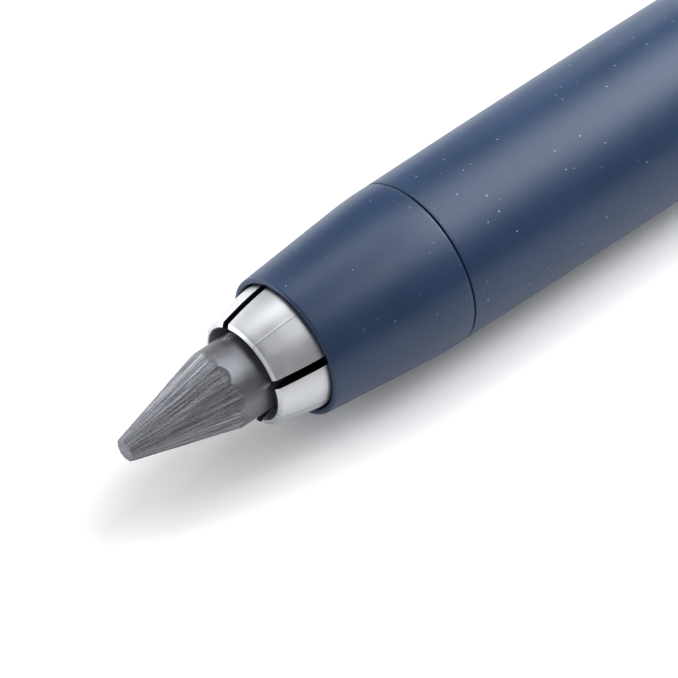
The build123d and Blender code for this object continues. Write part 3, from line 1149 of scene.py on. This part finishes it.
# ---------------------------------------------------------------- rear ferrule and button
def build_ferrule(sizes):
    """The metal end ring that guides the button."""
    start = front_of("rear_ferrule")
    end = back_of("rear_ferrule")
    shoulder = back_of("barrel")
    bore = bore_of("rear_ferrule")
    outer = outer_of("rear_ferrule")
    spigot = outer_of("rear_guide")
    rear = outer - sizes.ferrule_taper
    groove = shoulder + 1.1 * MM
    corners = [
        (start, bore, 0.05 * MM),
        (start, spigot, 0.05 * MM),
        (shoulder, spigot, 0),
        (shoulder, outer, 0.08 * MM),
        (groove, outer - 0.06 * MM, 0.04 * MM),
        (groove, outer - 0.24 * MM, 0.04 * MM),
        (groove + 0.3 * MM, outer - 0.24 * MM, 0.04 * MM),
        (groove + 0.3 * MM, outer - 0.08 * MM, 0.04 * MM),
        (end, rear, sizes.rim_round),
        (end, bore, 0.15 * MM),
    ]
    piece = turned_piece("ferrule_metal", corners, "satin_plating")
    return settle(piece, "barrel", "satin_metal", "rear_ferrule")


def build_button(sizes):
    """The push button's shell, with two ring grooves and a ribbed grip between them."""
    start = front_of("push_button")
    end = back_of("push_button")
    outer = outer_of("push_button")
    bore = outer - sizes.button_wall
    rib_radius = 0.13 * MM
    waist = outer - 0.16 * MM
    ribs_start = end - sizes.button_round - sizes.rib_length - 0.5 * MM
    ribs_end = ribs_start + sizes.rib_length
    corners = [
        (start, bore, 0.08 * MM),
        (start, outer, 0.12 * MM),
        (ribs_start - 0.25 * MM, outer, 0.05 * MM),
        (ribs_start - 0.10 * MM, waist, 0.05 * MM),
        (ribs_end + 0.10 * MM, waist, 0.05 * MM),
        (ribs_end + 0.25 * MM, outer, 0.05 * MM),
        (end, outer, sizes.button_round),
        (end, outer * 0.45, 0),
        (end - 0.12 * MM, 0, 0),
        (end - sizes.button_end, 0, 0),
        (end - sizes.button_end, bore, 0.2 * MM),
    ]
    piece = turned_piece("button_metal", corners, "satin_plating")
    apply_tree(
        piece,
        rib_tree(),
        ribs=sizes.ribs,
        radius=outer - rib_radius,
        start=ribs_start,
        length=sizes.rib_length,
        rib_radius=rib_radius,
        material=finish_for("satin_plating"),
    )
    piece.data.set_sharp_from_angle(angle=radians(35))
    return settle(piece, "button", "satin_metal", "push_button")


# ---------------------------------------------------------------- push tube and spring
def build_tube(sizes):
    """The brass push tube with its clip groove and the button's screw thread."""
    start = front_of("lead_tube")
    end = back_of("lead_tube")
    bore = bore_of("lead_tube")
    outer = outer_of("lead_tube")
    clip = front_of("collar_clip")
    clip_end = back_of("collar_clip")
    groove = bore_of("collar_clip") - SLIDING_FIT
    thread_start = front_of("button_insert")
    root = outer - sizes.thread_depth
    corners = [
        (start, bore, 0.05 * MM),
        (start, outer, 0.05 * MM),
        (clip, outer, 0),
        (clip, groove, 0),
        (clip_end, groove, 0),
        (clip_end, outer, 0),
        (thread_start, outer, 0),
        (thread_start + 0.15 * MM, root, 0),
        (end, root, 0.08 * MM),
        (end, bore, 0.08 * MM),
    ]
    piece = turned_piece("tube_brass", corners, "drawn_brass")
    settle(piece, "mechanism", "brass", "lead_tube")
    run = end - thread_start - 0.5 * MM
    thread = new_piece("tube_thread", bpy.data.meshes.new("tube_thread"))
    apply_tree(
        thread,
        coil_tree(),
        start=thread_start + 0.25 * MM,
        length=run,
        turns=run / sizes.thread_pitch,
        coil_radius=root,
        wire_radius=sizes.thread_depth,
        steps_per_turn=72,
        wire_sides=8,
        material=finish_for("drawn_brass"),
    )
    return settle(outward(thread), "mechanism", "brass")


def build_spring():
    """The return spring, with its end turns closed up."""
    low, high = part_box("return_spring")
    wire = 0.35 * MM
    piece = new_piece("spring_wire", bpy.data.meshes.new("spring_wire"))
    apply_tree(
        piece,
        coil_tree(),
        start=low.x + wire,
        length=high.x - low.x - 2 * wire,
        turns=12.0,
        coil_radius=high.z - wire,
        wire_radius=wire,
        end_closing=0.72,
        steps_per_turn=48,
        wire_sides=14,
        material=finish_for("spring_wire"),
    )
    settle(outward(piece), "barrel", "spring_steel", "return_spring")
    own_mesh(piece)


INNER_FINISHES = {
    "front_insert": "drawn_brass",
    "collet_body": "satin_plating",
    "spring_seat": "natural_nylon",
    "spring_collar": "natural_nylon",
    "collar_clip": "spring_wire",
    "rear_guide": "natural_nylon",
    "button_insert": "natural_nylon",
    "sharpener_body": "moulded_black",
    "sharpener_blade": "honed_steel",
    "blade_screw": "honed_steel",
}


def paint_inner_pieces():
    """Gives the inner pieces, whose shapes stay as they are, their finishes."""
    for node, finish in INNER_FINISHES.items():
        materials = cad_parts[node].data.materials
        materials.clear()
        materials.append(finish_for(finish))


# ---------------------------------------------------------------- stage
def build_camera(sizes):
    """The camera, looking down at the nose along the holder."""
    back = Vector(
        (
            sin(sizes.azimuth) * cos(sizes.elevation),
            -cos(sizes.azimuth) * cos(sizes.elevation),
            sin(sizes.elevation),
        )
    )
    right = Vector((cos(sizes.azimuth), sin(sizes.azimuth), 0))
    down = right.cross(back)
    target = Vector((front_of("nose_cone") + sizes.aim, 0, 0))
    target += right * sizes.aim_right + down * sizes.aim_down
    lens = bpy.data.cameras.new("camera")
    lens.angle = sizes.field
    lens.clip_start = 0.01
    camera = bpy.data.objects.new("camera", lens)
    bpy.context.scene.collection.objects.link(camera)
    camera.location = target + back * sizes.distance
    camera.rotation_euler = back.to_track_quat("Z", "Y").to_euler()
    bpy.context.scene.camera = camera


# Soft panels around the nose: name, degrees from overhead, degrees from +X, width, power.
# The powers and the choice of panels are the rounded result of a fitting program. They aren't
# set by hand, and they suit the main view only. They should be replaced by a few hand-set lights.
PANELS = (
    ("overhead_rear", 32, 0, 0.26, 0.47),
    ("overhead_left", 32, 45, 0.26, 0.39),
    ("overhead_back", 32, 90, 0.26, 0.27),
    ("overhead_right", 32, -45, 0.26, 0.48),
    ("rear", 62, 0, 0.30, 2.39),
    ("back", 62, 90, 0.30, 0.20),
    ("front", 62, 180, 0.30, 0.42),
    ("front_right", 62, 225, 0.30, 0.20),
    ("right", 62, 270, 0.30, 0.11),
    ("rear_right", 62, 315, 0.30, 0.12),
    ("backdrop_rear", 82, 45, 0.16, 0.24),
    ("backdrop", 82, 90, 0.16, 0.33),
    ("backdrop_front", 82, 135, 0.16, 0.79),
)


def build_sky(strength):
    """A dim, even light from all around."""
    world = bpy.data.worlds.new("studio")
    bpy.context.scene.world = world
    world.use_nodes = True
    world.node_tree.nodes["Background"].inputs["Color"].default_value = (1, 1, 1, 1)
    world.node_tree.nodes["Background"].inputs["Strength"].default_value = strength


def build_panels(distance, brightness):
    """The soft light panels, all facing the nose."""
    nose = Vector((front_of("nose_cone"), 0, 0))
    for name, tilt, turn, width, power in PANELS:
        lamp = bpy.data.lights.new(name, "AREA")
        lamp.size = width
        lamp.energy = power * brightness
        panel = bpy.data.objects.new(name, lamp)
        bpy.context.scene.collection.objects.link(panel)
        tilt, turn = radians(tilt), radians(turn)
        away = Vector((sin(tilt) * cos(turn), sin(tilt) * sin(turn), cos(tilt)))
        panel.location = nose + away * distance
        panel.rotation_euler = away.to_track_quat("Z", "Y").to_euler()
        panel.visible_camera = False


def build_table(glow):
    """A pale, matte table top under the holder."""
    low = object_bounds()[0]
    half = 1.5
    mesh = bpy.data.meshes.new("table")
    corners = [(-half, -half), (half, -half), (half, half), (-half, half)]
    mesh.from_pydata([(x, y, low[2]) for x, y in corners], [], [(0, 1, 2, 3)])
    table = new_piece("table", mesh)
    made, tree, shader, place = start_material("table_top")
    clouds = clouds_on(tree, place, 0.02)
    tree.links.new(
        mixed(tree, clouds, (0.86, 0.86, 0.86), (0.88, 0.88, 0.88)), shader.inputs["Base Color"]
    )
    shader.inputs["Roughness"].default_value = 0.8
    shader.inputs["Specular IOR Level"].default_value = 0.1
    shader.inputs["Emission Color"].default_value = (1, 1, 1, 1)
    shader.inputs["Emission Strength"].default_value = glow
    mesh.materials.append(made)
    table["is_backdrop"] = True


# ---------------------------------------------------------------- operators
class HOLDER_OT_stage(bpy.types.Operator):
    """Add the camera, the lights and the table"""

    bl_idname = "holder.stage"
    bl_label = "Stage"

    def execute(self, context):
        sizes = context.scene.holder_stage
        build_camera(sizes)
        build_sky(sizes.sky)
        build_panels(sizes.panels_away, sizes.brightness)
        build_table(sizes.table_glow)
        view = context.scene.view_settings
        view.view_transform = "Standard"
        view.exposure = sizes.exposure
        view.gamma = sizes.gamma
        return {"FINISHED"}


class HOLDER_OT_casing(bpy.types.Operator):
    """Build the soft-touch nose and barrel"""

    bl_idname = "holder.casing"
    bl_label = "Nose and Barrel"

    def execute(self, context):
        build_nose(context.scene.holder_nose, context.scene.holder_collet)
        build_barrel(context.scene.holder_nose)
        return {"FINISHED"}


class HOLDER_OT_jaws(bpy.types.Operator):
    """Build the four jaws of the collet"""

    bl_idname = "holder.jaws"
    bl_label = "Collet Jaws"

    def execute(self, context):
        sizes = context.scene.holder_collet
        outline = jaw_outline(sizes)
        for number in range(JAWS):
            build_jaw(number, sizes, outline)
        return {"FINISHED"}


class HOLDER_OT_lead(bpy.types.Operator):
    """Build the lead with its cut point"""

    bl_idname = "holder.lead"
    bl_label = "Lead"

    def execute(self, context):
        build_lead(context.scene.holder_lead, context.scene.holder_collet)
        return {"FINISHED"}


class HOLDER_OT_rear(bpy.types.Operator):
    """Build the rear ferrule and the push button"""

    bl_idname = "holder.rear"
    bl_label = "Ferrule and Button"

    def execute(self, context):
        build_ferrule(context.scene.holder_rear)
        build_button(context.scene.holder_rear)
        return {"FINISHED"}


class HOLDER_OT_mechanism(bpy.types.Operator):
    """Build the push tube and spring, and paint the inner pieces"""

    bl_idname = "holder.mechanism"
    bl_label = "Mechanism"

    def execute(self, context):
        build_tube(context.scene.holder_rear)
        build_spring()
        paint_inner_pieces()
        return {"FINISHED"}


class HOLDER_PT_sidebar(bpy.types.Panel):
    """Lists the holder's sizes and the steps that build it"""

    bl_idname = "HOLDER_PT_sidebar"
    bl_label = "Lead Holder"
    bl_space_type = "VIEW_3D"
    bl_region_type = "UI"
    bl_category = "Lead Holder"

    def draw(self, context):
        for key in GROUPS:
            box = self.layout.box()
            group = getattr(context.scene, key)
            for name in group.__annotations__:
                box.prop(group, name)
        for operator in OPERATORS:
            self.layout.operator(operator.bl_idname)


GROUPS = {
    "holder_stage": HolderStage,
    "holder_finish": HolderFinish,
    "holder_nose": HolderNose,
    "holder_collet": HolderCollet,
    "holder_lead": HolderLead,
    "holder_rear": HolderRear,
}
OPERATORS = (
    HOLDER_OT_stage,
    HOLDER_OT_casing,
    HOLDER_OT_jaws,
    HOLDER_OT_lead,
    HOLDER_OT_rear,
    HOLDER_OT_mechanism,
)


def register():
    for group in GROUPS.values():
        bpy.utils.register_class(group)
    for key, group in GROUPS.items():
        setattr(bpy.types.Scene, key, PointerProperty(type=group))
    for operator in OPERATORS:
        bpy.utils.register_class(operator)
    bpy.utils.register_class(HOLDER_PT_sidebar)


def unregister():
    bpy.utils.unregister_class(HOLDER_PT_sidebar)
    for operator in reversed(OPERATORS):
        bpy.utils.unregister_class(operator)
    for key, group in reversed(list(GROUPS.items())):
        delattr(bpy.types.Scene, key)
        bpy.utils.unregister_class(group)


def main():
    """Builds the whole holder."""
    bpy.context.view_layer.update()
    register()
    for operator in OPERATORS:
        family, step = operator.bl_idname.split(".")
        getattr(getattr(bpy.ops, family), step)()
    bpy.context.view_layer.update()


if __name__ == "__main__":
    main()
